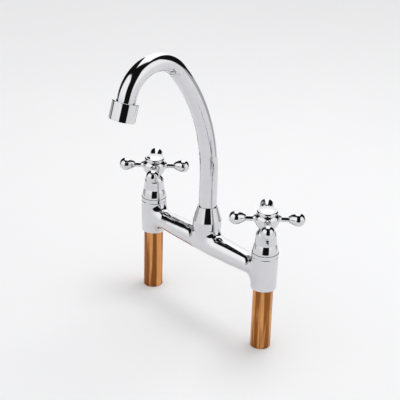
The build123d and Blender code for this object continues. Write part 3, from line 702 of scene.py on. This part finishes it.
def panel_mesh(name, outline):
    """Panel of the tent: outline(along, across) gives a direction, both from 0 to 1."""
    verts = []
    faces = []
    shares = []
    for row in range(panel_rows + 1):
        for column in range(panel_rows + 1):
            way = outline(row / panel_rows, column / panel_rows)
            verts.append(way * tent_radius + Vector((0, 0, tent_height)))
            shares.append((column / panel_rows, row / panel_rows))
    for row in range(panel_rows):
        for column in range(panel_rows):
            first = row * (panel_rows + 1) + column
            faces.append((first, first + 1, first + panel_rows + 2, first + panel_rows + 1))
    mesh = bpy.data.meshes.new(name)
    mesh.from_pydata(verts, [], faces)
    layer = mesh.uv_layers.new(name="UVMap")
    for loop in mesh.loops:
        layer.data[loop.index].uv = shares[loop.vertex_index]
    panel = bpy.data.objects.new(name, mesh)
    bpy.context.scene.collection.objects.link(panel)
    return panel


def panel_material(name, strength, foot_strength, edge):
    """Glowing cloth, dimmer at its foot, that thins to nothing at its other edges."""
    material = bpy.data.materials.new(name)
    material.use_nodes = True
    tree = material.node_tree
    tree.nodes.clear()
    place = add_node(tree, "ShaderNodeTexCoord")
    parts = add_node(tree, "ShaderNodeSeparateXYZ", {"Vector": place.outputs["UV"]})
    centred = add_node(
        tree, "ShaderNodeMath", {0: parts.outputs["X"], 1: 0.5}, operation="SUBTRACT"
    )
    reach = add_node(tree, "ShaderNodeMath", {0: centred.outputs[0]}, operation="ABSOLUTE")
    sides = add_node(
        tree,
        "ShaderNodeMapRange",
        {"Value": reach.outputs[0], "From Min": 0.5, "From Max": 0.5 - edge},
        interpolation_type="SMOOTHSTEP",
    )
    head = add_node(
        tree,
        "ShaderNodeMapRange",
        {"Value": parts.outputs["Y"], "From Min": 1.0, "From Max": 1.0 - edge},
        interpolation_type="SMOOTHSTEP",
    )
    power = add_node(
        tree,
        "ShaderNodeMapRange",
        {
            "Value": parts.outputs["Y"],
            "From Min": dim_share,
            "From Max": full_share,
            "To Min": foot_strength,
            "To Max": strength,
        },
        interpolation_type="SMOOTHSTEP",
    )
    cover = add_node(
        tree,
        "ShaderNodeMath",
        {0: sides.outputs[0], 1: head.outputs[0]},
        operation="MULTIPLY",
    )
    glow = add_node(
        tree,
        "ShaderNodeEmission",
        {"Color": (1, 1, 1, 1), "Strength": power.outputs[0]},
    )
    gap = add_node(tree, "ShaderNodeBsdfTransparent")
    mix = add_node(
        tree,
        "ShaderNodeMixShader",
        {0: cover.outputs[0], 1: gap.outputs[0], 2: glow.outputs[0]},
    )
    add_node(tree, "ShaderNodeOutputMaterial", {"Surface": mix.outputs[0]})
    return material


def between(start, end, share):
    """What lies at a share of the way from start to end."""
    return start + (end - start) * share


def right_panel(along, across):
    """To the right of the faucet, seen from the camera."""
    side = 2 * across - 1
    near_edge = between(right_foot_edges[0], right_top_edges[0], along)
    far_edge = between(right_foot_edges[1], right_top_edges[1], along)
    rise = between(panel_foot, right_top - right_top_fall * side * side, along)
    return direction(between(near_edge, far_edge, across), rise)


def left_panel(along, across):
    """To the left and towards the front."""
    side = 2 * across - 1
    rise = between(panel_foot, left_top - left_top_fall * side * side, along)
    return direction(left_middle - side * left_half, rise)


def back_sheet(along, across):
    """Long sheet that rises behind the faucet and runs over it."""
    side = 2 * across - 1
    rise = math.radians(between(panel_foot, back_top, along))
    flare = back_flare * max(0.0, 1 - along / back_flare_share) ** back_flare_curve
    lean = math.radians((back_half + flare) * side)
    onward = direction(back_middle, 0) * math.cos(rise) + Vector((0, 0, 1)) * math.sin(rise)
    sideways = direction(back_middle - 90, 0)
    return onward * math.cos(lean) + sideways * math.sin(lean)


def low_sheet(along, across):
    """Dimmer sheet behind the panels' feet, from the right round the back to the left."""
    return direction(between(*low_edges, across), between(*low_span, along)) * low_reach


for name, outline, strength, foot_strength, edge in (
    ("panel_right", right_panel, 1.2, 0.95, 0.08),
    ("panel_left", left_panel, 1.25, 0.92, 0.08),
    ("panel_back", back_sheet, 1.5, 1.1, 0.08),
    ("sheet_low", low_sheet, 0.5, 0.5, 0.03),
):
    panel = panel_mesh(name, outline)
    panel.data.materials.append(panel_material(name, strength, foot_strength, edge))
    panel.visible_camera = False
    panel.visible_diffuse = False
    panel.visible_shadow = False

# ---------------------------------------------------------------- camera
# A long lens that looks down on the faucet from its front right corner, rolled by a hair. The
# picture is square, and its middle lies a little below the line of sight.
camera_place = (0.8372, -0.8146, 0.6279)
camera_turn = 46.22
camera_tilt = 25.41
camera_roll = 1.74
sensor_width = 36.0
picture_side = 400
focal_length = 1172.8  # in picture units
centre_drop = 2.5

lens = bpy.data.cameras.new("camera")
lens.sensor_width = sensor_width
lens.lens = focal_length / picture_side * sensor_width
lens.shift_y = -centre_drop / picture_side
camera = bpy.data.objects.new("camera", lens)
camera.location = camera_place
camera.rotation_mode = "QUATERNION"
level = Euler((math.radians(90 - camera_tilt), 0, math.radians(camera_turn))).to_quaternion()
camera.rotation_quaternion = level @ Quaternion((0, 0, 1), math.radians(camera_roll))
bpy.context.scene.collection.objects.link(camera)
bpy.context.scene.camera = camera
bpy.context.scene.view_settings.view_transform = "Standard"
